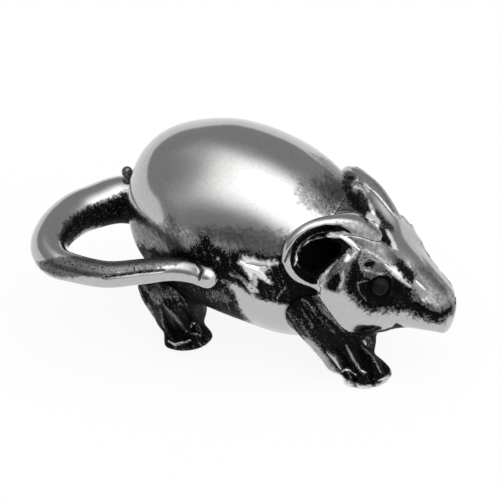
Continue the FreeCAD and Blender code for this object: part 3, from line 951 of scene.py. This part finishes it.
def press_eye_dish(castings, word):
    """The dish round an eye, with its lid and its patina."""
    eye = sum(box_of(word + "_eye")) / 2
    inner = eye * [1, 0, 1] + [-eye_root_depth, home[1], 0]
    out = (eye - inner) / np.linalg.norm(eye - inner)
    chosen = np.nonzero(np.linalg.norm(castings.points - eye, axis=1) < eye_reach)[0]
    from_eye = castings.points[chosen] - eye
    depth = from_eye @ out
    radius = np.sqrt(np.maximum((from_eye**2).sum(1) - depth**2, 0))
    front = depth > -eye_root_depth
    for lift, ring, width, flatness in eye_rings:
        castings.lift[chosen] += front * lift * hump(radius - ring, width, flatness)
    soot, width, flatness = eye_shade
    castings.soot[chosen] += front * soot * hump(radius, width, flatness)


def finished_castings(shapes, gaps, grid, hollows, grooves):
    """The castings with all their patina and relief."""
    castings = Castings(shapes)
    for name in ARMS + HAUNCHES:
        castings.soot[castings.spans[name]] = BLACK
    for patch in patches:
        castings.patch(*patch)
    clear_far_cheek(castings)
    for patch in crown_patches:
        castings.patch(*patch, folded=False)
    darken_hollows(castings, grid, gaps, hollows, grooves)
    for names, slant, soot in fur:
        castings.streaks(names, slant, soot)
    for stroke in strokes:
        castings.stroke(*stroke)
    for stroke in crown_strokes:
        castings.stroke(*stroke, folded=False)
    polish_soles(castings)
    for word, _ in sides:
        press_eye_dish(castings, word)
    castings.lift += ripple_height * (speckle(castings.points, *ripple) - 0.5)
    return castings


def add_casting(castings, name, quads):
    """The piece of one casting, lifted to its relief and kept inside the CAD box."""
    span = castings.spans[name]
    points = castings.points[span] + castings.normals[span] * castings.lift[span, None]
    points = np.clip(points, box_low, box_high)
    polish = proud_polish * np.clip(how_proud(points, quads), -proud_limit, proud_limit)
    soot = np.clip(castings.soot[span] - polish, *soot_range)
    return add_mesh(name + "_casting", points, quads.tolist(), soot)


def lathe(name, profile, foot, axis, count, soot):
    """A form turned round an axis. Its profile's first and last rings are poles."""
    side = np.cross(axis, askew)
    side = side / np.linalg.norm(side)
    other = np.cross(axis, side)
    turns = 2 * math.pi * np.arange(count) / count
    points = [foot + axis * profile[0][1]]
    for radius, place in profile[1:-1]:
        ring = np.cos(turns)[:, None] * side + np.sin(turns)[:, None] * other
        points.extend(foot + axis * place + ring * radius)
    points.append(foot + axis * profile[-1][1])
    rings = len(profile) - 2
    last = 1 + (rings - 1) * count
    faces = []
    for i in range(count):
        j = (i + 1) % count
        faces.append([0, 1 + j, 1 + i])
        for a in range(1, last, count):
            faces.append([a + i, a + j, a + count + j, a + count + i])
        faces.append([last + i, last + j, len(points) - 1])
    return add_mesh(name, np.array(points), faces, np.full(len(points), soot))


def add_eye(word, side):
    """A bead with a small round pupil pressed into its front."""
    low, high = box_of(word + "_eye")
    bead = (high - low).min() / 2
    axis = np.array(gaze) * [1, side, 1]
    axis = axis / np.linalg.norm(axis)
    pupil_depth, pupil_radius, flatness = pupil
    profile = []
    for angle in np.linspace(-math.pi / 2, math.pi / 2, bead_rings):
        radius = bead * math.cos(angle)
        place = bead * math.sin(angle)
        if angle > 0:
            place -= pupil_depth * hump(radius, pupil_radius, flatness)
        profile.append((radius, place))
    return lathe(word + "_eye_bead", profile, (low + high) / 2, axis, eye_facets, eye_soot)


def add_stud():
    """A pin with a round head and a collar, standing on the tail's root."""
    low, high = box_of("tail_root_stud")
    foot = np.array([(low[0] + high[0]) / 2, (low[1] + high[1]) / 2, low[2]])
    head = (high[0] - low[0]) / 2
    tall = high[2] - low[2]
    profile = [(0, 0), (stud_foot_radius, 0)]
    for radius, drop in stud_collar:
        profile.append((radius, tall - drop * head))
    for angle in np.linspace(stud_neck_angle, math.pi / 2, stud_rings):
        profile.append((head * math.cos(angle), tall - head + head * math.sin(angle)))
    return lathe("stud_pin", profile, foot, np.array([0, 0, 1.0]), stud_facets, stud_soot)


class Net:
    """Adds nodes to a material or world and joins them."""

    def __init__(self, owner):
        owner.use_nodes = True
        self.tree = owner.node_tree

    def node(self, kind, **settings):
        node = self.tree.nodes.new("ShaderNode" + kind)
        for key, value in settings.items():
            setattr(node, key, value)
        return node

    def join(self, source, target):
        if isinstance(source, bpy.types.NodeSocket):
            self.tree.links.new(source, target)
        else:
            target.default_value = source

    def fill(self, node, *values):
        """Joins values to a node's inputs in order."""
        for value, target in zip(values, node.inputs):
            self.join(value, target)
        return node.outputs

    def math(self, operation, *values):
        return self.fill(self.node("Math", operation=operation), *values)[0]

    def dot(self, vector, way):
        node = self.node("VectorMath", operation="DOT_PRODUCT")
        return self.fill(node, vector, tuple(way))["Value"]

    def noise(self, place, scale, detail):
        node = self.node("TexNoise")
        node.inputs["Scale"].default_value = scale
        node.inputs["Detail"].default_value = detail
        self.join(place, node.inputs["Vector"])
        return node.outputs["Fac"]

    def rise(self, value, low, high, start=0.0, end=1.0):
        """A smooth step from start to end while value goes from low to high."""
        node = self.node("MapRange", interpolation_type="SMOOTHSTEP")
        return self.fill(node, value, low, high, start, end)[0]

    def mix(self, share, first, second):
        """Two colours mixed."""
        node = self.node("Mix", data_type="RGBA")
        self.join(share, node.inputs[0])
        self.join(first, node.inputs[6])
        self.join(second, node.inputs[7])
        return node.outputs[2]


def silver_material(name, shine, bend):
    """White metal with black patina where the soot attribute is high."""
    material = bpy.data.materials.new(name)
    net = Net(material)
    shader = net.tree.nodes["Principled BSDF"]
    place = net.node("TexCoord").outputs["Object"]
    soot = net.node("Attribute", attribute_name="soot").outputs["Fac"]
    fine = net.noise(place, *fine_noise)
    broad = net.noise(place, *broad_noise)
    grainy = net.math("MULTIPLY_ADD", fine, fine_noise_gain, soot)
    grainy = net.math("MULTIPLY_ADD", broad, broad_noise_gain, grainy)
    black = net.rise(grainy, *black_edge)
    dull = net.rise(net.math("MULTIPLY_ADD", broad, dull_noise_gain, soot), *dull_edge)
    brushed = net.rise(soot, *brushed_edge, 1.0, 0.0)
    colour = net.mix(net.rise(broad, *silver_edge), silver_low, silver_high)
    colour = net.mix(dull, colour, silver_dull)
    colour = net.mix(brushed, colour, silver_brushed)
    net.join(net.mix(black, colour, patina_black), shader.inputs["Base Color"])
    net.join(net.rise(black, 0.0, 1.0, 1.0, 0.0), shader.inputs["Metallic"])
    rough = net.rise(fine, *shine_edge, shine, shine + shine_gain)
    rough = net.math("MULTIPLY_ADD", dull, dull_roughness, rough)
    rough = net.math("MULTIPLY_ADD", brushed, brushed_roughness, rough)
    net.join(net.math("MULTIPLY_ADD", black, black_roughness, rough), shader.inputs["Roughness"])
    shader.inputs["IOR"].default_value = bend
    return material


def grey(shade):
    return (shade, shade, shade, 1)


def add_floor():
    """Pale grey that takes the object's shadow, almost white to the camera and in reflections."""
    bpy.ops.mesh.primitive_circle_add(vertices=floor_facets, radius=floor_radius, fill_type="NGON")
    floor = bpy.context.object
    floor.name = "floor"
    material = bpy.data.materials.new("floor")
    floor.data.materials.append(material)
    net = Net(material)
    net.tree.nodes.clear()
    diffuse = net.node("BsdfDiffuse")
    diffuse.inputs["Color"].default_value = grey(floor_shade)
    glow = net.node("Emission")
    path = net.node("LightPath").outputs
    seen = net.math("ADD", path["Is Camera Ray"], path["Is Glossy Ray"])
    seen = net.math("ADD", seen, path["Is Transmission Ray"])
    share = net.math("MULTIPLY", seen, floor_glow_share)
    mixed = net.fill(net.node("MixShader"), share, diffuse.outputs[0], glow.outputs[0])
    net.join(mixed[0], net.node("OutputMaterial").inputs[0])
    return floor


def soft_light(net, way):
    """How much of the one large soft light lies in a direction."""
    light_long = (Vector((1, 0, 0)) - light_way * light_way.x).normalized()
    light_short = light_way.cross(light_long)
    sums = []
    for axis, half_angle in zip((light_long, light_short), light_half_angles):
        part = net.math("DIVIDE", net.math("ARCSINE", net.dot(way, axis)), half_angle)
        sums.append(net.math("POWER", net.math("ABSOLUTE", part), light_squareness))
    fall = net.math("EXPONENT", net.math("MULTIPLY", net.math("ADD", *sums), -1))
    return net.math("MULTIPLY", fall, net.rise(net.dot(way, light_way), 0.0, light_rise))


def add_studio():
    """The world that lights the object and shows in its metal."""
    world = bpy.data.worlds.new("studio")
    bpy.context.scene.world = world
    net = Net(world)
    way = net.node("TexCoord").outputs["Generated"]
    height = net.dot(way, (0, 0, 1))
    frontness = net.dot(way, (math.sin(camera_azimuth), -math.cos(camera_azimuth), 0))
    above_paper = net.math("SUBTRACT", height, net.rise(frontness, *paper_front, *paper_height))
    paper = net.rise(above_paper, -paper_fade, paper_fade, 1.0, 0.0)
    low_down = net.rise(height, *gloom_height, 1.0, 0.0)
    gloom = net.math("MULTIPLY", net.rise(frontness, *gloom_front), low_down)
    colour = net.mix(gloom, grey(grey_shade), grey(gloom_shade))
    colour = net.mix(paper, colour, grey(paper_shade))
    colour = net.mix(soft_light(net, way), colour, grey(light_level))
    net.join(colour, net.tree.nodes["Background"].inputs["Color"])


def add_camera():
    """The camera at the photograph's angle, far off behind a long lens."""
    data = bpy.data.cameras.new("camera")
    data.sensor_width = sensor_width
    data.lens = sensor_width * camera_distance / view_width
    camera = bpy.data.objects.new("camera", data)
    camera.location = Vector(camera_place * MM)
    camera.rotation_euler = Vector(way_back).to_track_quat("Z", "Y").to_euler()
    bpy.context.scene.collection.objects.link(camera)
    return camera


grid = Grid(box_low - margin, box_high + margin)
fields, hollows, grooves = casting_fields(grid)
shapes, gaps = casting_shapes(grid, fields)
castings = finished_castings(shapes, gaps, grid, hollows, grooves)
pieces = {}
for name, (_, quads) in shapes.items():
    pieces[name] = add_casting(castings, name, quads)
for word, side in sides:
    pieces[word + "_eye"] = add_eye(word, side)
pieces["tail_root_stud"] = add_stud()

materials = {slot: silver_material(slot, *finish) for slot, finish in finishes.items()}
for name, piece in pieces.items():
    slot = "polished_eye" if "eye" in name else "antique_silver"
    piece.data.materials.append(materials[slot])
    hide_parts(name)
    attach(piece, "root")

floor = add_floor()
add_studio()
bpy.context.scene.camera = add_camera()
bpy.context.scene.view_settings.view_transform = "Standard"
